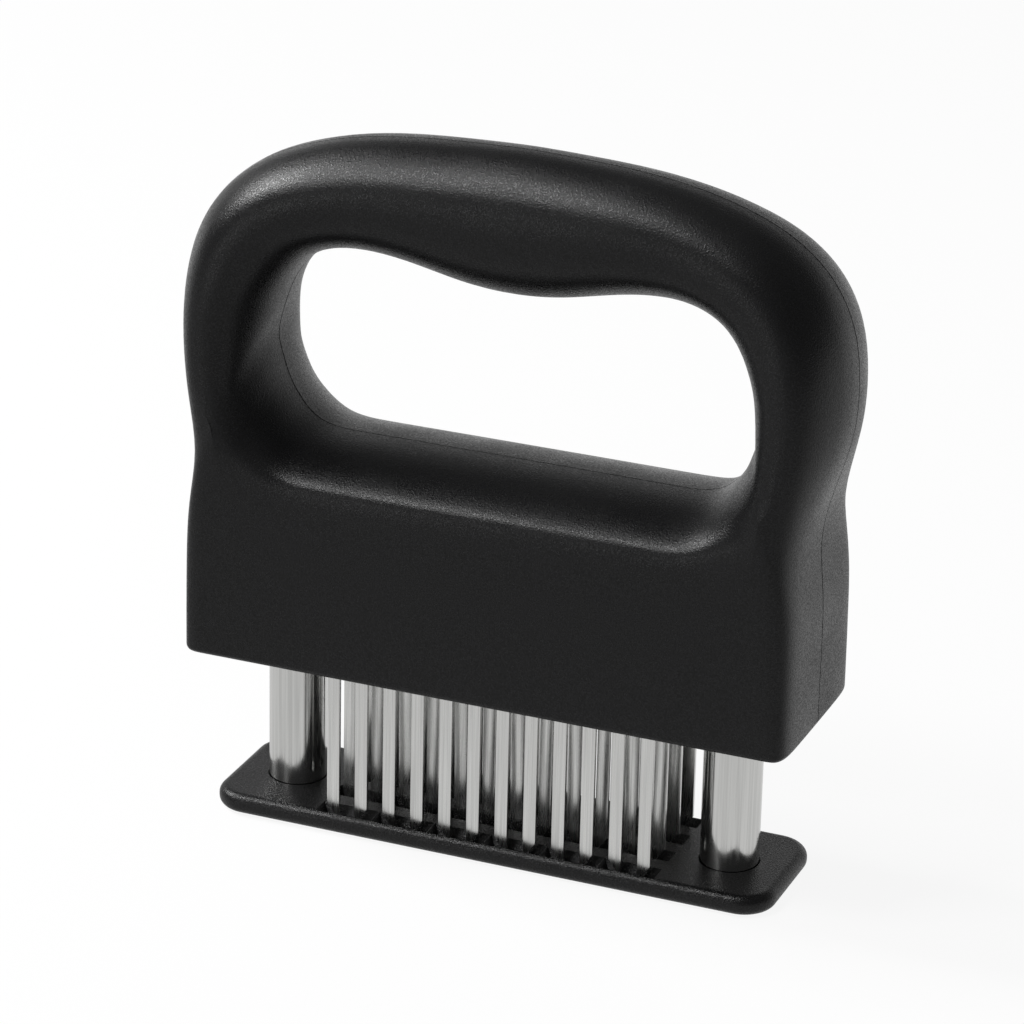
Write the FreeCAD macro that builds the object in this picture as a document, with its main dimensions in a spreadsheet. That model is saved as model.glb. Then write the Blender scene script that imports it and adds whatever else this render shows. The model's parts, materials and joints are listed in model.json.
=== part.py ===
import FreeCAD, Part
import math
import os
import Sketcher

# Blade meat tenderizer: a loop handle in two moulded shells over a pack of steel blades,
# and a spring-loaded foot plate on two steel posts. Millimetres, Z up, X along the length,
# the front face towards -Y, and the origin under the middle of the foot plate.

Vec = FreeCAD.Vector
NEAR = 0.001

# Driving sizes: alias, value in millimetres (or a plain count), meaning
SIZES = [
    ("overall_height", 125.0, "top of the grip above the table"),
    ("base_length", 110.0, "length of the base block at its lower edge"),
    ("base_depth", 35.0, "depth of the base block, front to rear"),
    ("base_bottom", 31.4, "lower edge of the base block above the table at rest"),
    ("base_corner", 3.65, "radius of the upright corners of the base block"),
    ("base_edge", 1.2, "rounding of the base block's lower edge"),
    ("waist_inset", 1.0, "waist between base and loop, in from the base block's end"),
    ("waist_level", 65.5, "height of the waist above the table"),
    ("bulge_overhang", 4.2, "greatest reach of the loop past the base block's end"),
    ("bulge_level", 93.0, "height of the loop's greatest reach"),
    ("leg_inset", 10.65, "end of the finger opening, in from the base block's end"),
    ("opening_bottom", 70.35, "lower rim of the finger opening at the seam"),
    ("opening_top", 104.05, "highest point of the finger opening"),
    ("palm_swell", 3.75, "drop of the palm swell at the middle of the grip"),
    ("rim_rounding", 8.65, "height of the rounded rim over the base block"),
    ("grip_depth", 22.7, "depth of the grip at the top"),
    ("leg_depth", 30.7, "depth of the legs at the bulge"),
    ("sunk_depth", 50.0, "how far the slices run below the base block before the trim"),
    ("shell_wall", 2.5, "wall of the moulded shells"),
    ("foot_length", 103.4, "foot plate, end to end"),
    ("foot_depth", 26.9, "foot plate, front to rear"),
    ("foot_thickness", 3.6, "foot plate, thickness"),
    ("foot_corner", 6.0, "radius of the foot plate's corners"),
    ("foot_round", 1.6, "rounding of the foot plate's edges"),
    ("travel", 24.0, "travel of the foot plate towards the base block"),
    ("post_spacing", 81.0, "distance between the two posts"),
    ("post_diameter", 10.2, "outer diameter of a post"),
    ("post_wall", 1.0, "wall of a post"),
    ("post_seat", 1.2, "depth of the posts' seats in the foot plate"),
    ("plug_height", 7.2, "height of the threaded plug in a post"),
    ("bush_wall", 1.1, "wall of a guide bush below its flange"),
    ("bush_flange", 0.6, "extra radius of a guide bush's flange"),
    ("bush_height", 9.0, "height of a guide bush"),
    ("ring_width", 1.4, "width of the stop ring round a post"),
    ("ring_height", 1.0, "height of the stop ring"),
    ("run_gap", 0.05, "radial running clearance of the posts"),
    ("free_gap", 0.2, "clearance between parts that pass or stop each other"),
    ("fit_gap", 0.1, "clearance between parts that are fitted together"),
    ("blade_pitch", 5.25, "distance between neighbouring tines"),
    ("row_pitch", 7.0, "distance between the rows of blades"),
    ("tine_width", 2.32, "width of a tine"),
    ("blade_thickness", 0.7, "thickness of a blade"),
    ("tip_level", 1.5, "height of the blade tips above the table at rest"),
    ("tip_slope", 3.2, "height of the slanted cutting end of a tine"),
    ("blade_head", 2.8, "height of the bridge that joins two tines"),
    ("pair_count", 6, "double blades in a row"),
    ("row_count", 4, "rows of double blades"),
    ("cover_thickness", 2.6, "thickness of the base cover"),
    ("cover_corner", 3.0, "radius of the base cover's corners"),
    ("cover_rim", 1.0, "how far the cover's rim enters the shells' groove"),
    ("rim_height", 1.5, "height of the cover's rim"),
    ("cover_recess", 0.4, "how far the cover lies above the shells' lower edge"),
    ("holder_height", 16.0, "height of the blade holder"),
    ("holder_margin", 3.1, "holder beyond the outer tines, along the length"),
    ("holder_depth", 26.0, "holder, front to rear"),
    ("clamp_thickness", 3.0, "thickness of the clamp plate over the blades"),
    ("spring_wire", 0.9, "wire of a return spring"),
    ("spring_turns", 14, "turns of a return spring"),
    ("pin_radius", 1.5, "radius of a spring's guide pin"),
    ("pin_head", 2.5, "radius of a guide pin's head"),
    ("anchor_height", 2.8, "height of the anchor block over a spring"),
    ("anchor_gap", 0.7, "room between a raised post and its anchor block"),
    ("washer_height", 1.0, "thickness of a spring washer"),
    ("screw_radius", 1.25, "radius of a screw's shank"),
    ("screw_head", 2.3, "radius of a screw's head"),
    ("head_height", 1.5, "height of a screw's head"),
    ("boss_radius", 3.3, "radius of the screw bosses in the shells"),
    ("boss_floor", 3.0, "material between a shell screw's head and the seam"),
    ("lower_boss_x", 22.0, "lower shell screws from the middle"),
    ("lower_boss_z", 61.5, "lower shell screws above the table"),
    ("upper_boss_x", 24.0, "upper shell screws from the middle"),
    ("pocket_depth", 1.5, "depth of the lead-in pockets in the foot plate"),
    ("pocket_slope", 1.0, "run of a pocket's slanted ends"),
]

doc = FreeCAD.newDocument("meat_tenderizer")
spec = doc.addObject("Spreadsheet::Sheet", "spec")
for row, (alias, value, meaning) in enumerate(SIZES, start=1):
    spec.set("A%d" % row, meaning)
    spec.set("B%d" % row, str(value))
    spec.setAlias("B%d" % row, alias)
doc.recompute()


def size(alias):
    """Return one driving size from the sheet as a number."""
    return float(getattr(spec, alias))


sub_parts = []


def keep(feature, node):
    """Give a finished sub-part its label and list it for export."""
    feature.Label = node
    sub_parts.append(feature)
    return feature


def bind(feature, **expressions):
    """Bind properties of an object to sheet expressions; x, y and z set its place."""
    places = {"x": "Placement.Base.x", "y": "Placement.Base.y", "z": "Placement.Base.z"}
    for name, expression in expressions.items():
        feature.setExpression(places.get(name, name), expression)
    return feature


def cylinder(name, radius, height, x="0", y="0", z="0"):
    """Return an upright cylinder that stands on z."""
    return bind(doc.addObject("Part::Cylinder", name), Radius=radius, Height=height, x=x, y=y, z=z)


def box(name, length, width, height, x="0", y="0", z="0"):
    """Return a box centred on x and y that stands on z."""
    corner_x = "(%s) - (%s) / 2" % (x, length)
    corner_y = "(%s) - (%s) / 2" % (y, width)
    body = doc.addObject("Part::Box", name)
    return bind(body, Length=length, Width=width, Height=height, x=corner_x, y=corner_y, z=z)


def fuse(name, pieces):
    """Return the union of some pieces."""
    union = doc.addObject("Part::MultiFuse", name)
    union.Shapes = pieces
    return union


def group(name, pieces):
    """Return separate solids held in one compound."""
    bundle = doc.addObject("Part::Compound", name)
    bundle.Links = pieces
    return bundle


def cut(name, base, tool):
    """Return base without tool."""
    result = doc.addObject("Part::Cut", name)
    result.Base = base
    result.Tool = tool
    return result


def plane_of(body, role):
    """Return one of a body's own origin planes."""
    return [plane for plane in body.Origin.OriginFeatures if plane.Role == role][0]


def polygon_sketch(body, name, role, corners):
    """Draw a closed outline whose corners are pairs of sheet expressions."""
    sketch = body.newObject("Sketcher::SketchObject", name)
    sketch.AttachmentSupport = [(plane_of(body, role), "")]
    sketch.MapMode = "FlatFace"
    start = [Vec(evaluate(across), evaluate(up), 0) for across, up in corners]
    count = len(corners)
    for index in range(count):
        sketch.addGeometry(Part.LineSegment(start[index], start[(index + 1) % count]), False)
    for index in range(count):
        sketch.addConstraint(Sketcher.Constraint("Coincident", index, 2, (index + 1) % count, 1))
    for index, (across, up) in enumerate(corners):
        for kind, expression, value in (("DistanceX", across, start[index].x),
                                        ("DistanceY", up, start[index].y)):
            number = sketch.addConstraint(Sketcher.Constraint(kind, -1, 1, index, 1, value))
            sketch.setExpression("Constraints[%d]" % number, expression)
    return sketch


def evaluate(expression):
    """Work out a sheet expression now, for the first place of a sketch's corner."""
    return float(spec.evalExpression(expression.replace("spec.", "")))


def padded(node, role, corners, length, offset=None, midplane=False):
    """Return a body that is one padded polygon."""
    body = doc.addObject("PartDesign::Body", node)
    sketch = polygon_sketch(body, node + "_outline", role, corners)
    pad = body.newObject("PartDesign::Pad", node + "_pad")
    pad.Profile = sketch
    pad.Midplane = midplane
    pad.setExpression("Length", length)
    sketch.Visibility = False
    if offset:
        sketch.setExpression("AttachmentOffset.Base.z", offset)
    return body


# Levels and places that several sub-parts share
LEVEL = {
    "seat": "spec.foot_thickness - spec.post_seat",
    "plug_top": "spec.foot_thickness - spec.post_seat + spec.plug_height",
    "cover": "spec.base_bottom + spec.cover_recess",
    "cover_top": "spec.base_bottom + spec.cover_recess + spec.cover_thickness",
}
LEVEL["bush_top"] = LEVEL["cover"] + " + spec.bush_height"
LEVEL["ring"] = LEVEL["bush_top"] + " + spec.free_gap"
LEVEL["post_top"] = LEVEL["ring"] + " + spec.ring_height + spec.ring_height"
LEVEL["anchor"] = LEVEL["post_top"] + " + spec.travel + spec.anchor_gap"
LEVEL["holder_top"] = LEVEL["cover_top"] + " + spec.holder_height"
LEVEL["head"] = LEVEL["holder_top"] + " - spec.blade_head - spec.fit_gap"
LEVEL["clamp_top"] = LEVEL["holder_top"] + " + spec.clamp_thickness"
SIDES = (("left", "-spec.post_spacing / 2"), ("right", "spec.post_spacing / 2"))
POST_RADIUS = "spec.post_diameter / 2"
BORE_RADIUS = "(spec.post_diameter / 2 - spec.post_wall)"


# Outer form of the loop and base block
class Station:
    """One slice across the loop, from the seam at the opening to the seam outside.

    A square share of 1 gives the outer end a flat face with small corners, 0 a full rounding.
    """

    def __init__(self, inner, outer, inner_round, outer_round, depth, square=0.0):
        self.inner = inner
        self.outer = outer
        self.inner_round = inner_round
        self.outer_round = outer_round
        self.depth = depth
        self.square = square


def mixed(first, second, share):
    """Return a value between two others."""
    return first + (second - first) * share


def loop_stations():
    """Return the slices of one half of the loop, from the middle of the rim to the top."""
    base = size("base_length") / 2
    reach = base - size("leg_inset")
    waist = base - size("waist_inset")
    bulge = base + size("bulge_overhang")
    low = size("opening_bottom")
    rise = size("opening_top") - low
    swell = size("palm_swell")
    floor = size("base_bottom")
    block_rise = size("waist_level") - floor
    neck = size("bulge_level") - size("waist_level")
    crown = size("overall_height") - size("bulge_level")
    sunk = size("sunk_depth")
    deep = size("base_depth") / 2
    leg = size("leg_depth") / 2
    grip = size("grip_depth") / 2
    rim = size("rim_rounding")
    edge = size("base_corner")
    full = size("overall_height")

    def opening(along, up):
        """Return a point of the opening's seam from shares of its half length and height."""
        return (along * reach, low + up * rise)

    def ceiling(along, drop):
        """Return a point of the opening's upper seam, lowered by a share of the swell."""
        return (along * reach, low + rise - drop * swell)

    def buried(along, up):
        """Return a point below the base block, from shares of its half length and the sink."""
        return (along * base, floor - (1 - up) * sunk)

    def wall(out, up):
        """Return a point of the block's end, at a distance out and a share of its rise."""
        return (out, floor + up * block_rise)

    def shoulder(out, up):
        """Return a point between the waist and the bulge."""
        return (mixed(waist, bulge, out), floor + block_rise + up * neck)

    def dome(along, up):
        """Return a point of the loop over the bulge."""
        return (along * bulge, size("bulge_level") + up * crown)

    return [
        Station(opening(0, 0), buried(0, 0), rim, edge, deep, 1),
        Station(opening(0.316, 0), buried(0.255, 0.02), rim, edge, deep, 1),
        Station(opening(0.595, 0), buried(0.51, 0.1), rim, edge, deep, 1),
        Station(opening(0.763, 0.006), buried(0.74, 0.24), rim, edge, deep, 1),
        Station(opening(0.853, 0.057), buried(0.9, 0.44), rim, edge, deep, 1),
        Station(opening(0.909, 0.139), buried(0.984, 0.72), rim, edge, deep, 1),
        Station(opening(0.952, 0.232), buried(1, 0.96), rim, edge, deep, 1),
        Station(opening(0.978, 0.336), wall(base, 0.36), rim, edge, deep, 1),
        Station(opening(1, 0.443), wall(base, 0.705), rim, 1.7 * edge, mixed(deep, leg, 0.03), 0.9),
        Station(opening(0.99, 0.538), wall(waist, 1), rim, 2.3 * edge, mixed(deep, leg, 0.2), 0.6),
        Station(opening(0.973, 0.62), shoulder(0.415, 0.35), full, full, mixed(deep, leg, 0.5), 0.3),
        Station(opening(0.953, 0.701), shoulder(0.9, 0.672), full, full, mixed(deep, leg, 0.8)),
        Station(opening(0.923, 0.787), dome(1, 0), full, full, leg),
        Station(opening(0.874, 0.878), dome(0.979, 0.302), full, full, mixed(leg, grip, 0.25)),
        Station(opening(0.802, 0.953), dome(0.901, 0.572), full, full, mixed(leg, grip, 0.5)),
        Station(opening(0.7, 0.995), dome(0.755, 0.78), full, full, mixed(leg, grip, 0.75)),
        Station(ceiling(0.575, 0), dome(0.542, 0.914), full, full, grip),
        Station(ceiling(0.405, 0.26), dome(0.343, 0.97), full, full, grip),
        Station(ceiling(0.202, 0.8), dome(0.166, 0.99), full, full, grip),
        Station(ceiling(0, 1), dome(0, 1), full, full, grip),
    ]


# Control net at one end of a slice, seam first. Rounded: shares of the rounding and of the
# depth. Square: shares of the corner radius, along the slice and in from the full depth.
ROUNDED_NET = [(0.0, 0.0), (0.0, 0.26), (0.14, 0.56), (0.5, 0.93), (0.86, 1.0)]
SQUARE_NET = [(0.0, 0.0), (0.0, 2.0), (0.0, 0.5), (0.5, 0.0), (1.6, 0.0)]
LEAST_ROUNDING = 0.2


def end_profile(rounding, corner, sine, square, depth):
    """Return one end of a slice as distances along it and out from the seam."""
    profile = []
    for (along, out), (corner_along, corner_in) in zip(ROUNDED_NET, SQUARE_NET):
        square_out = depth - corner * corner_in if out else 0.0
        profile.append((mixed(rounding * along, corner * corner_along / sine, square),
                        mixed(depth * out, square_out, square)))
    return profile


def seam_angle(stations, index, side):
    """Return the sine of the angle between a slice and the seam line it ends on."""
    before = getattr(stations[max(index - 1, 0)], side)
    after = getattr(stations[min(index + 1, len(stations) - 1)], side)
    along = (after[0] - before[0], after[1] - before[1])
    station = stations[index]
    across = (station.outer[0] - station.inner[0], station.outer[1] - station.inner[1])
    turn = abs(along[0] * across[1] - along[1] * across[0])
    return turn / (math.hypot(*along) * math.hypot(*across))


def slice_points(stations, index, inset):
    """Return points on the front surface along one slice, drawn in by inset."""
    station = stations[index]
    run = Vec(station.outer[0] - station.inner[0], 0, station.outer[1] - station.inner[1])
    across = run.Length
    run.normalize()
    sine_in = seam_angle(stations, index, "inner")
    sine_out = seam_angle(stations, index, "outer")
    round_in = station.inner_round / sine_in
    round_out = station.outer_round / sine_out
    share = min(1.0, across / (round_in + round_out))
    begin = inset / sine_in
    end = across - inset / sine_out
    round_in = max(round_in * share - begin, LEAST_ROUNDING)
    round_out = max(round_out * share - inset / sine_out, LEAST_ROUNDING)
    corner = max(size("base_corner") - inset, LEAST_ROUNDING)
    depth = station.depth - inset
    inner_end = end_profile(round_in, corner, sine_in, 0.0, depth)
    outer_end = end_profile(round_out, corner, sine_out, station.square, depth)
    profile = [(begin + along, out) for along, out in inner_end]
    profile.append(((begin + inner_end[-1][0] + end - outer_end[-1][0]) / 2, depth))
    profile += [(end - along, out) for along, out in reversed(outer_end)]
    origin = Vec(station.inner[0], 0, station.inner[1])
    return [origin + run * along + Vec(0, -out, 0) for along, out in profile]


def sharpen(ring):
    """Return a control net whose smooth surface comes close to the given points."""
    count = len(ring)
    net = []
    for index, points in enumerate(ring):
        before = ring[index - 1]
        after = ring[(index + 1) % count]
        net.append([p + (p * 2 - a - b) / 6 for p, a, b in zip(points, before, after)])
    return net


def front_half(inset):
    """Return the front half of the loop and block as a solid, drawn in by inset."""
    stations = loop_stations()
    half = [slice_points(stations, index, inset) for index in range(len(stations))]
    mirrored = [[Vec(-p.x, p.y, p.z) for p in points] for points in half[-2:0:-1]]
    net = sharpen(half + mirrored)
    degree = 3
    spans = len(net[0]) - degree
    surface = Part.BSplineSurface()
    across_knots = [degree + 1] + [1] * (spans - 1) + [degree + 1]
    surface.buildFromPolesMultsKnots(net, [1] * (len(net) + 1), across_knots,
                                     list(range(len(net) + 1)), list(range(spans + 1)),
                                     True, False, degree, degree)
    skin = surface.toShape()
    seams = [e for e in skin.Edges if abs(e.BoundBox.YMin) < NEAR and abs(e.BoundBox.YMax) < NEAR]
    seams.sort(key=lambda e: e.Length)
    seam_face = Part.Face([Part.Wire(seams[-1]), Part.Wire(seams[0])])
    shell = Part.Shell([skin, seam_face])
    shell.sewShape()
    solid = Part.Solid(shell)
    if solid.Volume < 0:
        solid.reverse()
    return solid


def block(length, depth, height, x, y, z):
    """Return a box centred on x and y that stands on z."""
    return Part.makeBox(length, depth, height, Vec(x - length / 2, y - depth / 2, z))


def rod(radius, y_from, y_to, x, z):
    """Return a cylinder along Y between two depths."""
    return Part.makeCylinder(radius, y_to - y_from, Vec(x, y_from, z), Vec(0, 1, 0))


def rounded_base(half):
    """Return a half trimmed at the base block's lower edge, with that edge rounded."""
    far = 2 * size("overall_height")
    floor = size("base_bottom")
    trimmed = half.cut(block(far, far, far, 0, 0, floor - far))
    lower = [e for e in trimmed.Edges
             if abs(e.CenterOfMass.z - floor) < NEAR and e.CenterOfMass.y < -NEAR]
    return trimmed.makeFillet(size("base_edge"), lower)


def shell_solids():
    """Return the front and rear shells, hollow, with bosses, groove and anchors."""
    far = 2 * size("overall_height")
    outer = rounded_base(front_half(0.0))
    hollow = front_half(size("shell_wall"))
    post_x = size("post_spacing") / 2
    anchor_z = evaluate(LEVEL["anchor"])
    bosses = []
    upper_z = (size("overall_height") + size("opening_top")) / 2
    places = [(size("lower_boss_x"), size("lower_boss_z")), (size("upper_boss_x"), upper_z)]
    places += [(-x, z) for x, z in places]
    for x, z in places:
        bosses.append(rod(size("boss_radius"), -size("base_depth") / 2, 0, x, z))
    for side in (-1, 1):
        bosses.append(block(3 * size("pin_head"), size("base_depth"), size("anchor_height"),
                            side * post_x, 0, anchor_z))
    inside = outer.common(Part.makeCompound(bosses))
    front = outer.cut(hollow).fuse(inside)
    front = front.cut(cover_outline(size("cover_rim"), size("fit_gap")))
    for side in (-1, 1):
        bore = Part.makeCylinder(size("pin_head"), size("anchor_height") + 1,
                                 Vec(side * post_x, 0, anchor_z - 1))
        front = front.cut(bore)
    rear = front.mirror(Vec(0, 0, 0), Vec(0, 1, 0))
    pilot_depth = size("grip_depth") / 2 - 2 * size("shell_wall")
    for x, z in places:
        front = front.cut(rod(size("screw_radius") + size("fit_gap") / 2, -pilot_depth, 1, x, z))
        rear = rear.cut(rod(size("screw_radius") + size("fit_gap"), -1, far, x, z))
        rear = rear.cut(rod(size("screw_head") + size("free_gap"), size("boss_floor"), far, x, z))
    return front.removeSplitter(), rear.removeSplitter(), places, pilot_depth


def cover_outline(reach, gap):
    """Return the rim space of the base cover, grown by a gap."""
    length = size("base_length") - 2 * size("shell_wall") + 2 * reach + 2 * gap
    depth = size("base_depth") - 2 * size("shell_wall") + 2 * reach + 2 * gap
    level = evaluate(LEVEL["cover_top"]) - size("rim_height") - gap
    rim = block(length, depth, size("rim_height") + 2 * gap, 0, 0, level)
    upright = [e for e in rim.Edges if abs(e.Vertexes[0].Z - e.Vertexes[1].Z) > 0.1]
    return rim.makeFillet(size("cover_corner") + reach + gap, upright)


front_solid, rear_solid, boss_places, pilot_depth = shell_solids()
front_shell = doc.addObject("Part::Feature", "front_shell")
front_shell.Shape = front_solid
keep(front_shell, "front_shell")
rear_shell = doc.addObject("Part::Feature", "rear_shell")
rear_shell.Shape = rear_solid
keep(rear_shell, "rear_shell")

# Shell screws, driven from the rear
screws = []
for place, (x, z) in enumerate(boss_places):
    head_y = size("boss_floor")
    shank = rod(size("screw_radius"), 0.5 - pilot_depth, head_y, x, z)
    head = rod(size("screw_head"), head_y, head_y + size("head_height"), x, z)
    socket = Part.makeBox(size("screw_head"), size("head_height"), size("screw_radius") / 2)
    socket.translate(Vec(x - size("screw_head") / 2, head_y + size("head_height") / 2,
                         z - size("screw_radius") / 4))
    screws.append(shank.fuse(head).cut(socket).removeSplitter())
shell_screws = doc.addObject("Part::Feature", "shell_screws")
shell_screws.Shape = Part.makeCompound(screws)
keep(shell_screws, "shell_screws")

# Base cover, trapped by its rim in the shells' groove
def row_place(row):
    """Return the depth of a row of blades, front row first."""
    return "spec.row_pitch * (%d - (spec.row_count - 1) / 2)" % row


cover_clear = size("fit_gap")
inner_length = size("base_length") - 2 * size("shell_wall")
inner_depth = size("base_depth") - 2 * size("shell_wall")
plate = block(inner_length - 2 * cover_clear, inner_depth - 2 * cover_clear,
              size("cover_thickness"), 0, 0, evaluate(LEVEL["cover"]))
plate = plate.makeFillet(size("cover_corner"), [e for e in plate.Edges
                                        if abs(e.Vertexes[0].Z - e.Vertexes[1].Z) > 0.1])
cover_blank = doc.addObject("Part::Feature", "cover_blank")
cover_blank.Shape = plate.fuse(cover_outline(size("cover_rim"), 0.0)).removeSplitter()
row_slots = []
cover_holes = []
blade_span = "(2 * spec.pair_count * spec.blade_pitch)"
for row in range(int(size("row_count"))):
    row_slots.append(box("row_slot_%d" % row, blade_span, "spec.blade_thickness + 4 * spec.free_gap",
                         "spec.cover_thickness + 2", y=row_place(row), z=LEVEL["cover"] + " - 1"))
for side, x in SIDES:
    cover_holes.append(cylinder("bush_hole_" + side, POST_RADIUS + " + spec.run_gap + spec.bush_wall",
                                "spec.cover_thickness + 2", x=x, z=LEVEL["cover"] + " - 1"))
JOIN_PLACES = [(sx, sy) for sx in (-1, 1) for sy in (-1, 1)]
for number, (sx, sy) in enumerate(JOIN_PLACES):
    x = "%d * 2 * spec.blade_pitch" % sx
    y = "%d * spec.row_pitch" % sy
    cover_holes.append(cylinder("cover_screw_hole_%d" % number, "spec.screw_radius + spec.fit_gap",
                                "spec.cover_thickness + 2", x=x, y=y, z=LEVEL["cover"] + " - 1"))
    cover_holes.append(cylinder("cover_head_hole_%d" % number, "spec.screw_head + spec.fit_gap",
                                "spec.head_height + 1", x=x, y=y, z=LEVEL["cover"] + " - 1"))
base_cover = cut("base_cover", cover_blank, fuse("cover_openings", row_slots + cover_holes))
keep(base_cover, "base_cover")


def screw(name, x, y, head_level, down, shank_length):
    """Return a screw whose head lies above (down) or below its upright shank."""
    step = 1 if down else -1
    head_z = head_level if down else "%s - spec.head_height" % head_level
    shank_z = "%s - (%s)" % (head_level, shank_length) if down else head_level
    head = cylinder(name + "_head", "spec.screw_head", "spec.head_height", x=x, y=y, z=head_z)
    shank = cylinder(name + "_shank", "spec.screw_radius", shank_length, x=x, y=y, z=shank_z)
    slot_z = "%s + spec.head_height / 2" % head_z if step > 0 else "%s - 0.01" % head_z
    slot = box(name + "_slot", "spec.screw_head * 1.2", "spec.screw_radius / 2",
               "spec.head_height / 2 + 0.01", x=x, y=y, z=slot_z)
    return cut(name, fuse(name + "_blank", [head, shank]), slot)


cover_screws = []
for number, (sx, sy) in enumerate(JOIN_PLACES):
    head_level = "(%s + spec.head_height)" % LEVEL["cover"]
    cover_screws.append(screw("cover_screw_%d" % number, "%d * 2 * spec.blade_pitch" % sx,
                              "%d * spec.row_pitch" % sy, head_level, False,
                              "spec.cover_thickness - spec.head_height + spec.holder_height / 3"))
keep(group("cover_screws", cover_screws), "cover_screws")

# Blade holder: a block that the double blades hang in by their heads
HOLDER_LENGTH = "(2 * spec.pair_count - 1) * spec.blade_pitch + spec.tine_width + 2 * spec.holder_margin"
holder_blank = box("holder_blank", HOLDER_LENGTH, "spec.holder_depth", "spec.holder_height",
                   z=LEVEL["cover_top"])
TINE_OFFSET = "(%d - spec.pair_count + 0.5) * spec.blade_pitch"


def tine_place(tine):
    """Return the place of a tine along the length, counted from the left."""
    return TINE_OFFSET % tine


holder_slots = []
for row in range(int(size("row_count"))):
    for tine in range(2 * int(size("pair_count"))):
        name = "holder_slot_%d_%d" % (row, tine)
        holder_slots.append(box(name, "spec.tine_width + 2 * spec.fit_gap",
                                "spec.blade_thickness + 2 * spec.fit_gap", "spec.holder_height + 2",
                                x=tine_place(tine), y=row_place(row), z=LEVEL["cover_top"] + " - 1"))
    for pair in range(int(size("pair_count"))):
        name = "head_slot_%d_%d" % (row, pair)
        middle = "(2 * %d + 1 - spec.pair_count) * spec.blade_pitch" % pair
        holder_slots.append(box(name, "spec.blade_pitch + spec.tine_width + 2 * spec.fit_gap",
                                "spec.blade_thickness + 2 * spec.fit_gap", "spec.blade_head + 3",
                                x=middle, y=row_place(row), z=LEVEL["head"] + " - spec.fit_gap"))
CLAMP_X = "%d * 4 * spec.blade_pitch"
for number, (sx, sy) in enumerate(JOIN_PLACES):
    holder_slots.append(cylinder("clamp_pilot_%d" % number, "spec.screw_radius + spec.fit_gap / 2",
                                 "spec.holder_height / 2 + 1", x=CLAMP_X % sx,
                                 y="%d * spec.row_pitch" % sy,
                                 z=LEVEL["holder_top"] + " - spec.holder_height / 2"))
    holder_slots.append(cylinder("cover_pilot_%d" % number, "spec.screw_radius + spec.fit_gap / 2",
                                 "spec.holder_height / 2 + 1", x="%d * 2 * spec.blade_pitch" % sx,
                                 y="%d * spec.row_pitch" % sy, z=LEVEL["cover_top"] + " - 1"))
blade_holder = cut("blade_holder", holder_blank, group("holder_openings", holder_slots))
keep(blade_holder, "blade_holder")

# Clamp plate over the blade heads, with its screws
clamp_blank = box("clamp_blank", HOLDER_LENGTH, "spec.holder_depth", "spec.clamp_thickness",
                  z=LEVEL["holder_top"])
clamp_holes = []
clamp_screws = []
for number, (sx, sy) in enumerate(JOIN_PLACES):
    y = "%d * spec.row_pitch" % sy
    clamp_holes.append(cylinder("clamp_hole_%d" % number, "spec.screw_radius + spec.fit_gap",
                                "spec.clamp_thickness + 2", x=CLAMP_X % sx, y=y,
                                z=LEVEL["holder_top"] + " - 1"))
    clamp_screws.append(screw("clamp_screw_%d" % number, CLAMP_X % sx, y,
                              "(%s)" % LEVEL["clamp_top"], True,
                              "spec.clamp_thickness + spec.holder_height / 3"))
blade_clamp = cut("blade_clamp", clamp_blank, group("clamp_holes", clamp_holes))
keep(blade_clamp, "blade_clamp")
keep(group("clamp_screws", clamp_screws), "clamp_screws")

# Double blades: two tines joined by a head, one node each
for row in range(int(size("row_count"))):
    for pair in range(int(size("pair_count"))):
        node = "double_blade_row%d_%d" % (row + 1, pair + 1)
        left = tine_place(2 * pair) + " - spec.tine_width / 2"
        left_in = tine_place(2 * pair) + " + spec.tine_width / 2"
        right_in = tine_place(2 * pair + 1) + " - spec.tine_width / 2"
        right = tine_place(2 * pair + 1) + " + spec.tine_width / 2"
        head = LEVEL["head"]
        head_top = head + " + spec.blade_head"
        slant = "spec.tip_level + spec.tip_slope"
        corners = [(left, slant), (left, head_top), (right, head_top), (right, slant),
                   (right_in, "spec.tip_level"), (right_in, head), (left_in, head),
                   (left_in, "spec.tip_level")]
        blade = padded(node, "XZ_Plane", corners, "spec.blade_thickness",
                       offset="-(%s)" % row_place(row), midplane=True)
        keep(blade, node)

# Foot plate with its lead-in pockets, blade slots and post seats
foot_body = doc.addObject("PartDesign::Body", "foot_body")
foot_sketch = polygon_sketch(foot_body, "foot_outline", "XY_Plane", [
    ("-spec.foot_length / 2", "-spec.foot_depth / 2"), ("spec.foot_length / 2", "-spec.foot_depth / 2"),
    ("spec.foot_length / 2", "spec.foot_depth / 2"), ("-spec.foot_length / 2", "spec.foot_depth / 2")])
foot_pad = foot_body.newObject("PartDesign::Pad", "foot_pad")
foot_pad.Profile = foot_sketch
foot_pad.setExpression("Length", "spec.foot_thickness")
doc.recompute()


def edges_where(feature, test):
    """Return the names of a feature's edges whose two ends pass a test."""
    names = []
    for number, edge in enumerate(feature.Shape.Edges, start=1):
        if test(edge.Vertexes[0].Point, edge.Vertexes[-1].Point):
            names.append("Edge%d" % number)
    return names


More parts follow.
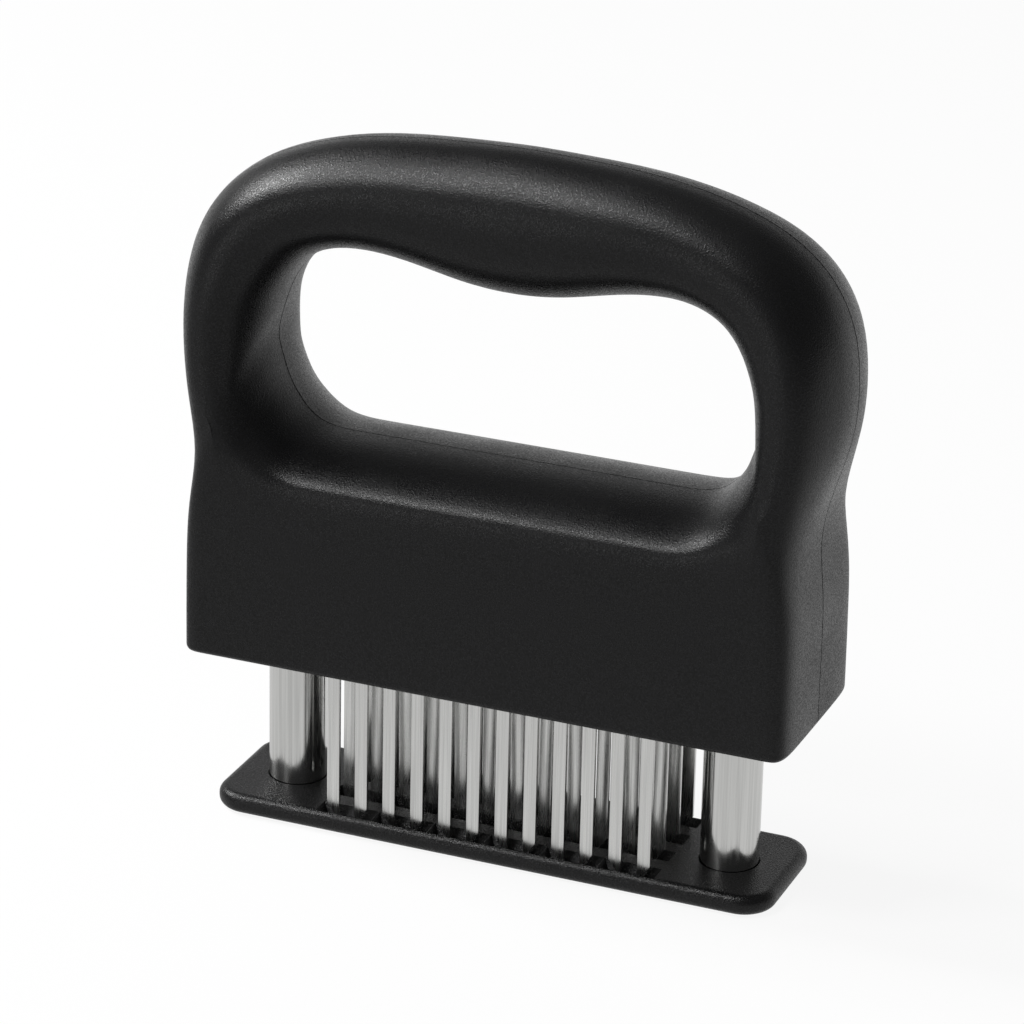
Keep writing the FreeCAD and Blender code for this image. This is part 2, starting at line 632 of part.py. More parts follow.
foot_corners = foot_body.newObject("PartDesign::Fillet", "foot_corners")
foot_corners.Base = (foot_pad, edges_where(foot_pad, lambda a, b: abs(a.z - b.z) > 1))
foot_corners.setExpression("Radius", "spec.foot_corner")
doc.recompute()
foot_rounds = foot_body.newObject("PartDesign::Fillet", "foot_rounds")
foot_rounds.Base = (foot_corners, edges_where(foot_corners, lambda a, b: abs(a.z - b.z) < 0.01))
foot_rounds.setExpression("Radius", "spec.foot_round")
doc.recompute()
foot_cuts = []
for row in range(int(size("row_count"))):
    for tine in range(2 * int(size("pair_count"))):
        name = "foot_slot_%d_%d" % (row, tine)
        foot_cuts.append(box(name, "spec.tine_width + 4 * spec.free_gap",
                             "spec.blade_thickness + 3 * spec.free_gap", "spec.foot_thickness + 2",
                             x=tine_place(tine), y=row_place(row), z="-1"))
    for pair in range(int(size("pair_count"))):
        pocket = doc.addObject("Part::Wedge", "pocket_%d_%d" % (row, pair))
        half_x = "(spec.blade_pitch + spec.tine_width) / 2 + 2 * spec.free_gap"
        half_y = "spec.blade_thickness / 2 + 3 * spec.free_gap"
        grow = "spec.pocket_slope"
        bind(pocket, Ymin="0", Ymax="spec.pocket_depth",
             Xmin="-(%s)" % half_x, Xmax=half_x, Zmin="-(%s)" % half_y, Zmax=half_y,
             X2min="-(%s) - %s" % (half_x, grow), X2max="%s + %s" % (half_x, grow),
             Z2min="-(%s) - %s" % (half_y, grow), Z2max="%s + %s" % (half_y, grow))
        pocket.Placement = FreeCAD.Placement(Vec(), FreeCAD.Rotation(Vec(1, 0, 0), 90))
        bind(pocket, x="(2 * %d + 1 - spec.pair_count) * spec.blade_pitch" % pair, y=row_place(row),
             z="spec.foot_thickness - spec.pocket_depth")
        foot_cuts.append(pocket)
for side, x in SIDES:
    foot_cuts.append(cylinder("post_seat_" + side, POST_RADIUS + " + spec.free_gap",
                              "spec.post_seat + 1", x=x, z=LEVEL["seat"]))
    foot_cuts.append(cylinder("foot_screw_hole_" + side, "spec.screw_radius + spec.fit_gap",
                              "spec.foot_thickness", x=x, z="-0.5"))
    foot_cuts.append(cylinder("foot_head_hole_" + side, "spec.screw_head + spec.fit_gap",
                              "spec.head_height + 0.5 + spec.fit_gap", x=x, z="-0.5"))
foot_plate = cut("foot_plate", foot_body, fuse("foot_openings", foot_cuts))
keep(foot_plate, "foot_plate")

# Posts, plugs, stop rings, bushes, pins and washers, one of each per side
foot_screws = []
for side, x in SIDES:
    post_height = "(%s) - (%s)" % (LEVEL["post_top"], LEVEL["seat"])
    tube = cylinder("post_tube_" + side, POST_RADIUS, post_height, x=x, z=LEVEL["seat"])
    bore = cylinder("post_bore_" + side, BORE_RADIUS, post_height + " + 2", x=x,
                    z=LEVEL["seat"] + " - 1")
    keep(cut("post_cut_" + side, tube, bore), side + "_post")

    plug = cylinder("plug_body_" + side, BORE_RADIUS + " - spec.fit_gap / 2", "spec.plug_height",
                    x=x, z=LEVEL["seat"])
    thread = cylinder("plug_thread_" + side, "spec.screw_radius + spec.fit_gap / 2",
                      "spec.plug_height - 0.9", x=x, z=LEVEL["seat"] + " - 0.1")
    keep(cut("plug_cut_" + side, plug, thread), side + "_post_plug")
    head_level = "(spec.head_height + spec.fit_gap)"
    foot_screws.append(screw("foot_screw_" + side, x, "0", head_level, False,
                             "spec.foot_thickness - spec.head_height + spec.plug_height / 2"))

    ring = cylinder("ring_body_" + side, POST_RADIUS + " + spec.ring_width", "spec.ring_height",
                    x=x, z=LEVEL["ring"])
    ring_bore = cylinder("ring_bore_" + side, POST_RADIUS, "spec.ring_height + 2", x=x,
                         z=LEVEL["ring"] + " - 1")
    keep(cut("ring_cut_" + side, ring, ring_bore), side + "_stop_ring")

    sleeve_radius = POST_RADIUS + " + spec.run_gap + spec.bush_wall"
    sleeve = cylinder("bush_sleeve_" + side, sleeve_radius + " - spec.fit_gap / 2",
                      "spec.bush_height", x=x, z=LEVEL["cover"])
    flange = cylinder("bush_flange_" + side, sleeve_radius + " + spec.bush_flange",
                      "spec.bush_height - spec.cover_thickness", x=x, z=LEVEL["cover_top"])
    bush_bore = cylinder("bush_bore_" + side, POST_RADIUS + " + spec.run_gap",
                         "spec.bush_height + 2", x=x, z=LEVEL["cover"] + " - 1")
    bush_blank = fuse("bush_blank_" + side, [sleeve, flange])
    keep(cut("bush_cut_" + side, bush_blank, bush_bore), side + "_guide_bush")

    pin_foot = "(%s) + spec.travel + spec.free_gap + 1" % LEVEL["plug_top"]
    collar_z = "(%s) - spec.anchor_gap - 2 * spec.washer_height" % LEVEL["anchor"]
    pin_rod = cylinder("pin_rod_" + side, "spec.pin_radius", "(%s) - (%s)" % (collar_z, pin_foot),
                       x=x, z=pin_foot)
    pin_collar = cylinder("pin_collar_" + side, "spec.pin_head",
                          "2 * spec.washer_height + spec.anchor_gap + spec.anchor_height",
                          x=x, z=collar_z)
    keep(fuse("pin_fuse_" + side, [pin_rod, pin_collar]), side + "_spring_pin")
    washer_z = "(%s) - spec.washer_height" % collar_z
    washer = cylinder("washer_body_" + side, BORE_RADIUS + " - 2 * spec.free_gap",
                      "spec.washer_height", x=x, z=washer_z)
    washer_bore = cylinder("washer_bore_" + side, "spec.pin_radius + spec.run_gap",
                           "spec.washer_height + 2", x=x, z=washer_z + " - 1")
    keep(cut("washer_cut_" + side, washer, washer_bore), side + "_spring_washer")
keep(group("foot_screws", foot_screws), "foot_screws")

# Return springs: one unbroken helix each, between the plug and the washer


def biarc(start, start_way, end, end_way):
    """Return two arcs that join two points and meet their directions."""
    chord = end - start
    ways = start_way + end_way
    bend = 2 * (1 - start_way.dot(end_way))
    lean = chord.dot(ways)
    reach = (math.sqrt(lean * lean + bend * chord.dot(chord)) - lean) / bend
    first = start + start_way * reach
    last = end - end_way * reach
    middle = (first + last) * 0.5
    return [corner_arc(start, first, middle), corner_arc(middle, last, end)]


def corner_arc(start, corner, end):
    """Return the arc that leaves start towards corner and comes into end from it."""
    chord_middle = (start + end) * 0.5
    half = (end - start).Length / 2
    up = corner - chord_middle
    angle = math.atan2(up.Length, half)
    top = chord_middle + up * (half * math.tan(angle / 2) / up.Length)
    return Part.Arc(start, top, end).toShape()


def spring_shape(x, low, high):
    """Return a helical spring tube between two levels, and its least gap to itself."""
    wire = size("spring_wire") / 2
    radius = size("post_diameter") / 2 - size("post_wall") - 2 * size("free_gap") - wire
    turns = int(size("spring_turns"))
    begin = low + wire + size("run_gap")
    rise = high - wire - size("run_gap") - begin
    steps = 4 * turns
    slope = rise / (turns * 2 * math.pi * radius)
    run = math.hypot(1, slope)
    points = []
    for step in range(steps + 1):
        angle = math.pi / 2 * step
        place = Vec(x + radius * math.cos(angle), radius * math.sin(angle),
                    begin + rise * step / steps)
        way = Vec(-math.sin(angle) / run, math.cos(angle) / run, slope / run)
        points.append((place, way))
    edges = []
    for (start, start_way), (end, end_way) in zip(points, points[1:]):
        edges += biarc(start, start_way, end, end_way)
    path = Part.Wire(edges)
    section = Part.Wire(Part.Circle(points[0][0], points[0][1], wire).toShape())
    tube = path.makePipeShell([section], True, False)
    print("spring turns", turns, "least gap", round(rise / turns - 2 * wire, 3),
          "volume share", round(tube.Volume / (math.pi * wire ** 2 * path.Length), 4))
    return tube


plug_top = evaluate(LEVEL["plug_top"])
washer_low = evaluate(LEVEL["anchor"]) - size("anchor_gap") - 3 * size("washer_height")
for side, sign in (("left", -1), ("right", 1)):
    spring = doc.addObject("Part::Feature", side + "_spring")
    spring.Shape = spring_shape(sign * size("post_spacing") / 2, plug_top, washer_low)
    keep(spring, side + "_spring")

doc.recompute()
faults = [o.Label for o in doc.Objects if "Invalid" in o.State or "Error" in o.State]
for feature in sub_parts:
    shape = feature.Shape
    if shape.isNull() or not shape.isValid() or not shape.Solids:
        faults.append(feature.Label)
if faults:
    raise RuntimeError("failed objects: " + ", ".join(faults))

os.makedirs("parts", exist_ok=True)
for feature in sub_parts:
    feature.Shape.exportStep("parts/%s.step" % feature.Label)
print("wrote", len(sub_parts), "nodes")
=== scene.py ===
"""Blade meat tenderizer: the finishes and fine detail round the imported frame, and its studio."""

import json
import logging
import math
from dataclasses import dataclass, field
from enum import Enum

import bmesh
import bpy
from mathutils import Matrix, Vector


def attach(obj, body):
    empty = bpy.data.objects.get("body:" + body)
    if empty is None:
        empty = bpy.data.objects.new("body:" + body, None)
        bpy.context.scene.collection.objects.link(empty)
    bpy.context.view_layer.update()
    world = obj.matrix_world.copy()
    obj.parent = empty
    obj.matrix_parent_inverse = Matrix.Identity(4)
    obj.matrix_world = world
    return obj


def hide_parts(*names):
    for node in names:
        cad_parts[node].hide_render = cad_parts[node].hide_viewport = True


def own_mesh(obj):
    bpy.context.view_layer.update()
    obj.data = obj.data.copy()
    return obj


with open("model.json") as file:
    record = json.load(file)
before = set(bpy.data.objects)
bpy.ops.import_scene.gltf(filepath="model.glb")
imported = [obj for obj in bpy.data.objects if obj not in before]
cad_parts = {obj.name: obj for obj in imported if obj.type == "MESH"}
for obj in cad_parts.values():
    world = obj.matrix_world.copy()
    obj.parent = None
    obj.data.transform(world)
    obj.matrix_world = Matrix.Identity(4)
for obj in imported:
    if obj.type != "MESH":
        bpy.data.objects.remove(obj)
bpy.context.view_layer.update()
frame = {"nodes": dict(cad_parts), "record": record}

log = logging.getLogger("tenderizer")
MM = 0.001
# Points nearer than this are one point
TOUCH = 0.002 * MM
# A cut takes points nearer than this as lying on it
CUT_TOUCH = TOUCH / 4
# Faces that meet at less than this are shaded as one smooth surface
SOFT_ANGLE = math.radians(28)
# The bevel profile of a quarter circle
ROUND_PROFILE = 0.5
# How much finer noise lies in each pattern, and how strong it is in the fine one
NOISE_DETAIL = 2.0
NOISE_ROUGHNESS = 0.55
# Linear colours of the studio: light, and the share of it that white paper throws back
WHITE = (1.0, 1.0, 1.0, 1.0)
PAPER = (0.82, 0.82, 0.82, 1.0)


def linear(colour: str) -> tuple[float, float, float, float]:
    """Turn an sRGB hex colour into linear light.

    Args:
        colour: six hex digits after a hash sign.

    Returns:
        Red, green, blue and an alpha of one.
    """
    parts = [int(colour[i:i + 2], 16) / 255 for i in (1, 3, 5)]
    light = [c / 12.92 if c <= 0.04045 else ((c + 0.055) / 1.055) ** 2.4 for c in parts]
    return (light[0], light[1], light[2], 1.0)


def per_metre(size_mm: float) -> float:
    """Return the pattern scale on Object coordinates whose features are size_mm wide."""
    return 1.0 / (size_mm * MM)


def blank(owner: bpy.types.Material | bpy.types.World) -> bpy.types.NodeTree:
    """Give a material or world an empty node tree.

    Args:
        owner: the material or world.

    Returns:
        Its node tree.
    """
    owner.use_nodes = True
    owner.node_tree.nodes.clear()
    return owner.node_tree


def add(tree: bpy.types.NodeTree, kind: str, settings: dict[str | int, object] | None = None,
        links: dict[str | int, bpy.types.NodeSocket] | None = None) -> bpy.types.Node:
    """Add a node with its settings and links.

    Args:
        tree: the node tree that it goes into.
        kind: the node's Blender type name.
        settings: property names, and socket names or numbers, with their values.
        links: the node's input sockets with the output sockets that feed them.

    Returns:
        The new node.
    """
    node = tree.nodes.new(kind)
    for name, value in (settings or {}).items():
        if isinstance(name, str) and hasattr(node, name):
            setattr(node, name, value)
        else:
            node.inputs[name].default_value = value
    for name, output in (links or {}).items():
        tree.links.new(output, node.inputs[name])
    return node


class Grain(Enum):
    """How a surface was made, as the stretch of its relief along X, Y and Z.

    A share below one draws the pattern out along that axis.
    """

    SPARK = (1.0, 1.0, 1.0)
    DRAWN = (1.0, 1.0, 0.015)
    TURNED = (0.05, 0.05, 1.0)
    # As good as even. Fully even, it would be a second name for SPARK
    PLAIN = (1.0, 1.0, 0.98)


@dataclass(frozen=True)
class Finish:
    """A real surface: what it is made of and how it was made.

    Sizes are in millimetres. spread is how far the roughness swings with the broad pattern,
    glint how far it swings with the grain, and shade the share by which the colour does. The
    broad pattern is broad_grains grains wide. The two ranges are the parts of each pattern's
    values over which those swings run.
    """

    name: str
    colour: str
    roughness: float
    metallic: float
    grain: Grain
    grain_mm: float
    relief_mm: float
    ior: float = 1.5
    specular: float = 0.5
    spread: float = 0.04
    glint: float = 0.0
    shade: float = 0.12
    broad_grains: float = 40.0
    broad_range: tuple[float, float] = (0.3, 0.7)
    fine_range: tuple[float, float] = (0.35, 0.65)

    def tinted(self, share: float) -> tuple[float, float, float, float]:
        """Return the finish's colour made lighter by a share, or darker by one below zero."""
        red, green, blue = (min(1.0, c * (1 + share)) for c in linear(self.colour)[:3])
        return (red, green, blue, 1.0)

    def material(self) -> bpy.types.Material:
        """Build the finish as a node material.

        Returns:
            The material, named for the real surface.
        """
        made = bpy.data.materials.new(self.name)
        tree = blank(made)
        low, high = self.fine_range
        place = add(tree, "ShaderNodeTexCoord").outputs["Object"]
        run = add(tree, "ShaderNodeMapping", {"Scale": self.grain.value}, {"Vector": place})
        fine = add(tree, "ShaderNodeTexNoise",
                   {"Scale": per_metre(self.grain_mm), "Detail": NOISE_DETAIL,
                    "Roughness": NOISE_ROUGHNESS},
                   {"Vector": run.outputs["Vector"]})
        broad = add(tree, "ShaderNodeTexNoise",
                    {"Scale": per_metre(self.grain_mm * self.broad_grains),
                     "Detail": NOISE_DETAIL},
                    {"Vector": place})
        swing = add(tree, "ShaderNodeMapRange",
                    {"From Min": self.broad_range[0], "From Max": self.broad_range[1],
                     "To Min": self.roughness - self.spread,
                     "To Max": self.roughness + self.spread},
                    {"Value": broad.outputs["Fac"]})
        glints = add(tree, "ShaderNodeMapRange",
                     {"From Min": low, "From Max": high,
                      "To Min": self.glint, "To Max": -self.glint},
                     {"Value": fine.outputs["Fac"]})
        roughness = add(tree, "ShaderNodeMath", {"operation": "ADD"},
                        {0: swing.outputs["Result"], 1: glints.outputs["Result"]})
        colour = add(tree, "ShaderNodeValToRGB", {}, {"Fac": fine.outputs["Fac"]})
        dark, pale = colour.color_ramp.elements
        dark.color = self.tinted(-self.shade)
        dark.position = low
        pale.color = self.tinted(self.shade)
        pale.position = high
        relief = add(tree, "ShaderNodeBump", {"Strength": 1.0, "Distance": self.relief_mm * MM},
                     {"Height": fine.outputs["Fac"]})
        shader = add(tree, "ShaderNodeBsdfPrincipled",
                     {"Metallic": self.metallic, "IOR": self.ior,
                      "Specular IOR Level": self.specular},
                     {"Base Color": colour.outputs["Color"], "Roughness": roughness.outputs[0],
                      "Normal": relief.outputs["Normal"]})
        add(tree, "ShaderNodeOutputMaterial", {}, {"Surface": shader.outputs["BSDF"]})
        return made


# Spark-eroded ABS is an even dull black that sparkles finely where light grazes it. Its real
# grain of 0.1 mm would vanish at this picture's scale, so it is drawn at three times that
HANDLE_ABS = Finish("matt_black_abs_spark_eroded", "#0d0d0e", 0.35, 0.0, Grain.SPARK, 0.3, 0.07,
                    specular=0.27, glint=0.12, shade=0.8)
# The foot comes from the same kind of tool, worn a little smoother, so its rounded edge shines
FOOT_ABS = Finish("satin_black_abs_spark_eroded", "#0d0d0e", 0.33, 0.0, Grain.SPARK, 0.3, 0.09,
                  specular=0.3, glint=0.12, shade=0.8)
# Acetal guides are plain mouldings, a little greyer and waxier
GUIDE_ACETAL = Finish("black_acetal_moulded", "#1a1a1c", 0.42, 0.0, Grain.PLAIN, 0.8, 0.01)
# Ground and polished stainless tube mirrors the room softly, with fine upright lines
POST_STEEL = Finish("polished_stainless_tube", "#d6d6d4", 0.16, 1.0, Grain.DRAWN, 0.4, 0.004,
                    glint=0.04, shade=0.07)
# Cold-rolled strip, stamped and tumbled, is an even satin with faint lines along the tines
BLADE_STEEL = Finish("satin_stainless_strip", "#dededc", 0.26, 1.0, Grain.DRAWN, 0.35, 0.004,
                     glint=0.05, shade=0.08)
# Drawn wire keeps a dull sheen from its die
SPRING_STEEL = Finish("drawn_spring_wire", "#b4b4b2", 0.3, 1.0, Grain.PLAIN, 0.3, 0.003)
# Turned parts carry fine rings round their axis
TURNED_STEEL = Finish("turned_bright_steel", "#bdbdba", 0.26, 1.0, Grain.TURNED, 0.25, 0.004)
# Zinc plating is a bright, slightly mottled grey
SCREW_STEEL = Finish("zinc_plated_screw_steel", "#a9aaa8", 0.32, 1.0, Grain.PLAIN, 0.3, 0.003)


class Slot(Enum):
    """The record's material slots with the finish that each takes."""

    handle_plastic = HANDLE_ABS
    foot_plastic = FOOT_ABS
    inner_plastic = GUIDE_ACETAL
    blade_steel = BLADE_STEEL
    post_steel = POST_STEEL
    spring_steel = SPRING_STEEL
    turned_steel = TURNED_STEEL
    screw_steel = SCREW_STEEL


@dataclass
class Workshop:
    """Makes each finish once, and turns meshes into dressed pieces on the frame."""

    made: dict[Slot, bpy.types.Material] = field(default_factory=dict)

    def finish(self, slot: Slot) -> bpy.types.Material:
        """Build a slot's material the first time, and keep it.

        Args:
            slot: the material slot.

        Returns:
            Its material.
        """
        if slot not in self.made:
            self.made[slot] = slot.value.material()
        return self.made[slot]

    def dress(self, node: str, slot: Slot) -> None:
        """Put a slot's finish on a node of the frame.

        Args:
            node: the node's name.
            slot: the material slot.
        """
        surface = frame["nodes"][node].data
        surface.materials.clear()
        surface.materials.append(self.finish(slot))
        log.info("%s: %s", node, slot.value.name)

    def merged(self, node: str) -> bmesh.types.BMesh:
        """Copy a node's mesh and join its loose triangles.

        Args:
            node: the node's name.

        Returns:
            The copy.
        """
        copy = bmesh.new()
        copy.from_mesh(frame["nodes"][node].data)
        bmesh.ops.remove_doubles(copy, verts=copy.verts[:], dist=TOUCH)
        return copy

    def stand_in(self, copy: bmesh.types.BMesh, node: str, body: str,
                 slot: Slot) -> bpy.types.Object:
        """Make a detailed copy the visible piece of its node.

        Args:
            copy: the finished mesh, which is freed here.
            node: the node that it stands for.
            body: the body that it moves with.
            slot: the material slot that it takes its finish from.

        Returns:
            The piece.
        """
        data = bpy.data.meshes.new(node + "_detail")
        copy.to_mesh(data)
        copy.free()
        data.shade_smooth()
        data.set_sharp_from_angle(angle=SOFT_ANGLE)
        data.materials.append(self.finish(slot))
        piece = bpy.data.objects.new(node + "_detail", data)
        bpy.context.scene.collection.objects.link(piece)
        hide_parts(node)
        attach(piece, body)
        log.info("%s: detailed, %s", node, slot.value.name)
        return piece


@dataclass
class Handle:
    """The loop handle: two shells that meet in a fine groove, their cover and screws.

    A face belongs to the rim, not to a wall, if its normal runs along Y by rim_share or more.
    """

    groove_half_mm: float = 0.15
    groove_depth_mm: float = 0.28
    rim_share: float = 0.9

    def grooved(self, shop: Workshop, shell: str, side: float) -> None:
        """Sink a shell's rim at the parting plane, so that both shells meet in a V groove.

        Args:
            shop: makes the piece.
            shell: the shell's node.
            side: -1 for the front shell and 1 for the rear one.
        """
        copy = shop.merged(shell)
        bmesh.ops.bisect_plane(copy, geom=copy.verts[:] + copy.edges[:] + copy.faces[:],
                               dist=CUT_TOUCH, plane_co=(0, side * self.groove_half_mm * MM, 0),
                               plane_no=(0, 1, 0))
        copy.normal_update()
        moves = []
        for corner in copy.verts:
            if abs(corner.co.y) > TOUCH:
                continue
            walls = [face.normal for face in corner.link_faces
                     if abs(face.normal.y) < self.rim_share]
            outward = sum(walls, Vector()) * Vector((1, 0, 1))
            if outward.length > 0:
                moves.append((corner, outward.normalized() * self.groove_depth_mm * MM))
        for corner, outward in moves:
            corner.co -= outward
        shop.stand_in(copy, shell, "handle", Slot.handle_plastic)

    def build(self, shop: Workshop) -> None:
        """Groove the shells and dress what they hold.

        Args:
            shop: makes and dresses the pieces.
        """
        self.grooved(shop, "front_shell", -1)
        self.grooved(shop, "rear_shell", 1)
        shop.dress("base_cover", Slot.inner_plastic)
        for node in ("shell_screws", "cover_screws"):
            shop.dress(node, Slot.screw_steel)


@dataclass
class BladePack:
    """The stamped double blades, with the soft edges of tumbled strip, in their holder."""

    rows: int = 4
    pairs: int = 6
    edge_mm: float = 0.09
    edge_segments: int = 2
    flat_angle: float = math.radians(1)
    edge_angle: float = math.radians(40)

    def softened(self, shop: Workshop, blade: str) -> None:
        """Round the sharp edges of one double blade a little, as tumbling does.

        Args:
            shop: makes the piece.
            blade: the blade's node.
        """
        copy = shop.merged(blade)
        bmesh.ops.dissolve_limit(copy, angle_limit=self.flat_angle, verts=copy.verts[:],
                                 edges=copy.edges[:])
        sharp = [edge for edge in copy.edges
                 if edge.is_manifold and edge.calc_face_angle(0.0) > self.edge_angle]
        bmesh.ops.bevel(copy, geom=sharp, offset=self.edge_mm * MM, offset_type="OFFSET",
                        segments=self.edge_segments, profile=ROUND_PROFILE, affect="EDGES",
                        clamp_overlap=True, material=-1)
        shop.stand_in(copy, blade, "handle", Slot.blade_steel)

    def build(self, shop: Workshop) -> None:
        """Soften every blade and dress the holder, its clamp and their screws.

        Args:
            shop: makes and dresses the pieces.
        """
        for row in range(1, self.rows + 1):
            for pair in range(1, self.pairs + 1):
                self.softened(shop, f"double_blade_row{row}_{pair}")
        for node in ("blade_holder", "blade_clamp"):
            shop.dress(node, Slot.inner_plastic)
        shop.dress("clamp_screws", Slot.screw_steel)


@dataclass
class Foot:
    """The spring-loaded foot plate on its two steel posts."""

    sides: tuple[str, str] = ("left", "right")

    def build(self, shop: Workshop) -> None:
        """Dress the plate, the posts and the parts on them.

        Args:
            shop: makes and dresses the pieces.
        """
        shop.dress("foot_plate", Slot.foot_plastic)
        shop.dress("foot_screws", Slot.screw_steel)
        for side in self.sides:
            shop.dress(side + "_post", Slot.post_steel)
            for part in ("_post_plug", "_stop_ring"):
                shop.dress(side + part, Slot.turned_steel)


@dataclass
class Guides:
    """The bushes that guide the posts, and the return springs inside them."""

    sides: tuple[str, str] = ("left", "right")
    travel: float = frame["record"]["behaviour"]["joints"][0]["range_m"][1]

    def sprung(self, shop: Workshop, spring: str) -> None:
        """Copy a spring as a detailed piece with a mesh of its own.

        Args:
            shop: makes the piece.
            spring: the spring's node.
        """
        piece = shop.stand_in(shop.merged(spring), spring, "handle", Slot.spring_steel)
        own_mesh(piece)

    def build(self, shop: Workshop) -> None:
        """Dress the bushes, springs, pins and washers.

        Args:
            shop: makes and dresses the pieces.
        """
        for side in self.sides:
            shop.dress(side + "_guide_bush", Slot.inner_plastic)
            self.sprung(shop, side + "_spring")
            for part in ("_spring_pin", "_spring_washer"):
                shop.dress(side + part, Slot.turned_steel)


@dataclass(frozen=True)
class SoftBox:
    """A rectangular soft box: its middle, its width and height in metres, and its watts."""

    name: str
    place: tuple[float, float, float]
    size: tuple[float, float]
    power: float

    def hang(self, aim: tuple[float, float, float]) -> None:
        """Put the lamp in the scene.

        Args:
            aim: the point that it faces.
        """
        data = bpy.data.lights.new(self.name, "AREA")
        data.shape = "RECTANGLE"
        data.size, data.size_y = self.size
        data.energy = self.power
        lamp = bpy.data.objects.new(self.name, data)
        bpy.context.scene.collection.objects.link(lamp)
        lamp.location = self.place
        way = Vector(aim) - Vector(self.place)
        lamp.rotation_euler = way.to_track_quat("-Z", "Y").to_euler()


# Two boxes over the left shoulder light the grip and the ridge, and a low one fills the front
SOFT_BOXES = (
    SoftBox("shoulder_box", (-0.9, 0.0, 0.85), (0.3, 0.3), 12.0),
    SoftBox("ridge_box", (-0.42, -0.45, 1.05), (0.28, 0.28), 6.5),
    SoftBox("front_box", (-0.5, -1.0, 0.3), (0.25, 0.5), 1.2),
)


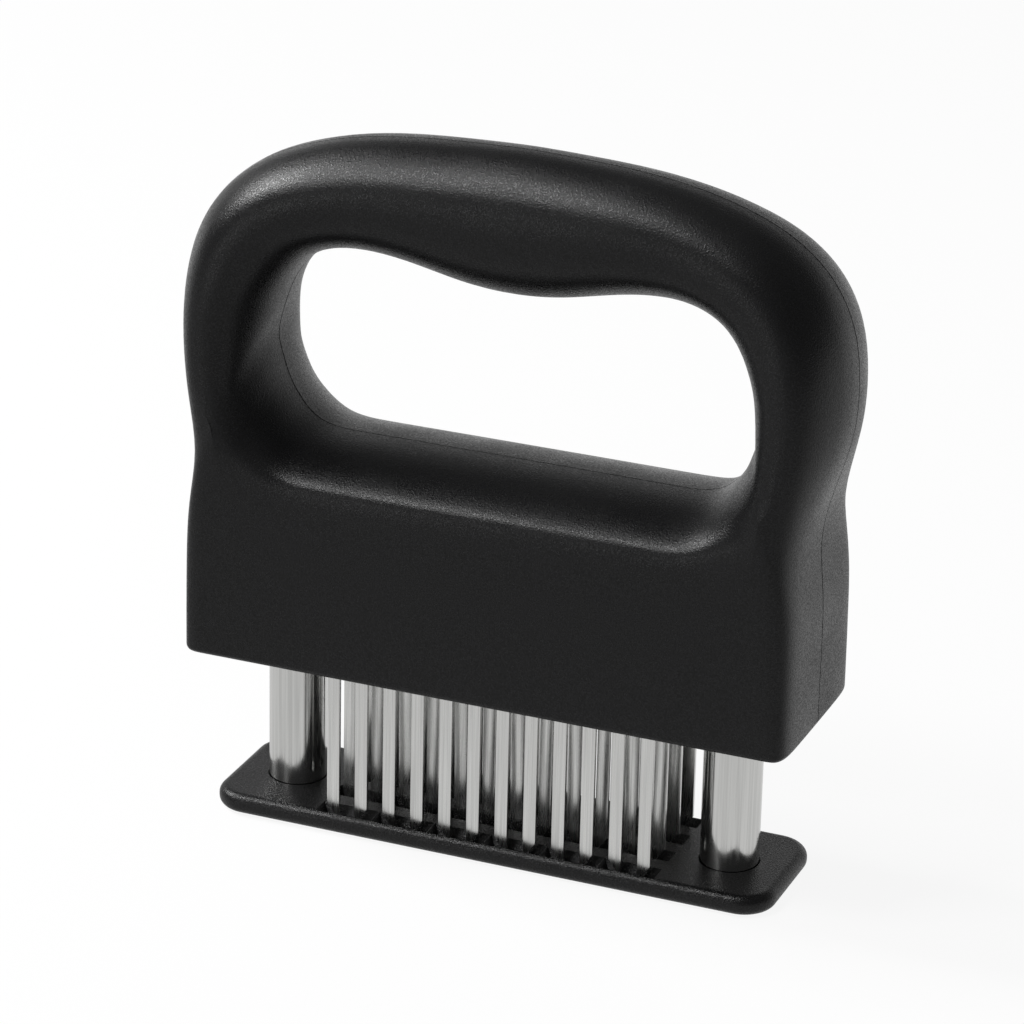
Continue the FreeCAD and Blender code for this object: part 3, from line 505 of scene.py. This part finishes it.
@dataclass
class Studio:
    """The plain studio: a white floor, soft boxes and the camera at the photograph's angle.

    Lengths are in metres and angles in degrees. The camera was fitted to the photograph's
    outlines. The glows are the brightness of the camera's side in reflections, where white is
    one, and the depths are where that side ends and where the white begins.
    """

    azimuth: float = 21.892
    elevation: float = 22.606
    roll: float = 1.266
    distance: float = 0.7752
    target: tuple[float, float, float] = (-0.000889, 0.0, 0.060386)
    focal_px: float = 4584.2
    picture_px: float = 1024.0
    sensor_mm: float = 36.0
    clip: tuple[float, float] = (0.01, 50.0)
    lamp_aim: tuple[float, float, float] = (0.0, 0.0, 0.06)
    ambient: float = 0.18
    room_glow: float = 0.06
    room_depths: tuple[float, float] = (0.1, 0.8)
    floor_glow: float = 0.62
    floor_depths: tuple[float, float] = (-0.1, 0.4)
    floor_size: float = 12.0
    floor_drop: float = 0.0002
    shadow_share: float = 0.1

    def camera(self) -> None:
        """Place the camera and make it the scene's own."""
        turn = math.radians(self.azimuth)
        tilt = math.radians(self.elevation)
        lean = math.radians(self.roll)
        ahead = Vector((-math.sin(turn) * math.cos(tilt), math.cos(turn) * math.cos(tilt),
                        -math.sin(tilt)))
        level = Vector((math.cos(turn), math.sin(turn), 0.0))
        upright = level.cross(ahead)
        right = level * math.cos(lean) + upright * math.sin(lean)
        above = upright * math.cos(lean) - level * math.sin(lean)
        data = bpy.data.cameras.new("camera")
        data.sensor_width = self.sensor_mm
        data.lens = self.focal_px / self.picture_px * self.sensor_mm
        data.clip_start, data.clip_end = self.clip
        camera = bpy.data.objects.new("camera", data)
        bpy.context.scene.collection.objects.link(camera)
        place = Vector(self.target) - ahead * self.distance
        axes = Matrix((right, above, -ahead)).transposed().to_4x4()
        camera.matrix_world = Matrix.Translation(place) @ axes
        bpy.context.scene.camera = camera

    def glow(self, tree: bpy.types.NodeTree, depth: bpy.types.NodeSocket,
             depths: tuple[float, float], dim: float) -> bpy.types.NodeSocket:
        """Return the brightness that a white room shows to each kind of ray.

        The camera and clear parts see white. Reflections see white behind the object, and a dim
        room where the camera stands.

        Args:
            tree: the material or world tree.
            depth: a value that grows from the camera's side to the far side.
            depths: the depth up to which the room is dim, and the one from which it is white.
            dim: the brightness of the camera's side, where white is one.

        Returns:
            The socket of the brightness.
        """
        path = add(tree, "ShaderNodeLightPath")
        seen = add(tree, "ShaderNodeMath", {"operation": "MAXIMUM"},
                   {0: path.outputs["Is Camera Ray"], 1: path.outputs["Is Transmission Ray"]})
        room = add(tree, "ShaderNodeMapRange",
                   {"From Min": depths[0], "From Max": depths[1], "To Min": dim, "To Max": 1.0},
                   {"Value": depth})
        mirrored = add(tree, "ShaderNodeMath", {"operation": "MULTIPLY"},
                       {0: path.outputs["Is Glossy Ray"], 1: room.outputs["Result"]})
        both = add(tree, "ShaderNodeMath", {"operation": "MAXIMUM"},
                   {0: seen.outputs[0], 1: mirrored.outputs[0]})
        return both.outputs[0]

    def world(self) -> None:
        """Make the surroundings white to the camera and in reflections, and dim as light."""
        world = bpy.data.worlds.new("studio_room")
        bpy.context.scene.world = world
        tree = blank(world)
        way = add(tree, "ShaderNodeTexCoord").outputs["Generated"]
        parts = add(tree, "ShaderNodeSeparateXYZ", {}, {"Vector": way})
        depth = add(tree, "ShaderNodeMath", {"operation": "SUBTRACT"},
                    {0: parts.outputs["Y"], 1: parts.outputs["Z"]})
        glow = self.glow(tree, depth.outputs[0], self.room_depths, self.room_glow)
        strength = add(tree, "ShaderNodeMath", {"operation": "MAXIMUM", 1: self.ambient}, {0: glow})
        room = add(tree, "ShaderNodeBackground", {"Color": WHITE},
                   {"Strength": strength.outputs[0]})
        add(tree, "ShaderNodeOutputWorld", {}, {"Surface": room.outputs["Background"]})

    def floor(self) -> None:
        """Lay the white floor, which keeps a faint shadow under the foot."""
        bpy.ops.mesh.primitive_plane_add(size=self.floor_size, location=(0, 0, -self.floor_drop))
        sheet = bpy.context.active_object
        sheet.name = "studio_floor"
        made = bpy.data.materials.new("white_paper_sweep")
        tree = blank(made)
        place = add(tree, "ShaderNodeTexCoord").outputs["Object"]
        parts = add(tree, "ShaderNodeSeparateXYZ", {}, {"Vector": place})
        strength = self.glow(tree, parts.outputs["Y"], self.floor_depths, self.floor_glow)
        path = add(tree, "ShaderNodeLightPath")
        lit = add(tree, "ShaderNodeMath", {"operation": "MULTIPLY", 1: 1 - self.shadow_share},
                  {0: path.outputs["Is Camera Ray"]})
        share = add(tree, "ShaderNodeMath", {"operation": "MAXIMUM"},
                    {0: lit.outputs[0], 1: path.outputs["Is Glossy Ray"]})
        paper = add(tree, "ShaderNodeBsdfDiffuse", {"Color": PAPER})
        white = add(tree, "ShaderNodeEmission", {"Color": WHITE}, {"Strength": strength})
        sweep = add(tree, "ShaderNodeMixShader", {},
                    {0: share.outputs[0], 1: paper.outputs["BSDF"], 2: white.outputs["Emission"]})
        add(tree, "ShaderNodeOutputMaterial", {}, {"Surface": sweep.outputs["Shader"]})
        sheet.data.materials.append(made)

    def build(self) -> None:
        """Set up the whole studio."""
        self.camera()
        for box in SOFT_BOXES:
            box.hang(self.lamp_aim)
        self.world()
        self.floor()
        bpy.context.scene.view_settings.view_transform = "Standard"
        log.info("studio")


def main() -> None:
    logging.basicConfig(level=logging.INFO, format="%(message)s")
    Studio().build()
    shop = Workshop()
    for assembly in (Handle(), BladePack(), Guides(), Foot()):
        assembly.build(shop)


if __name__ == "__main__":
    main()
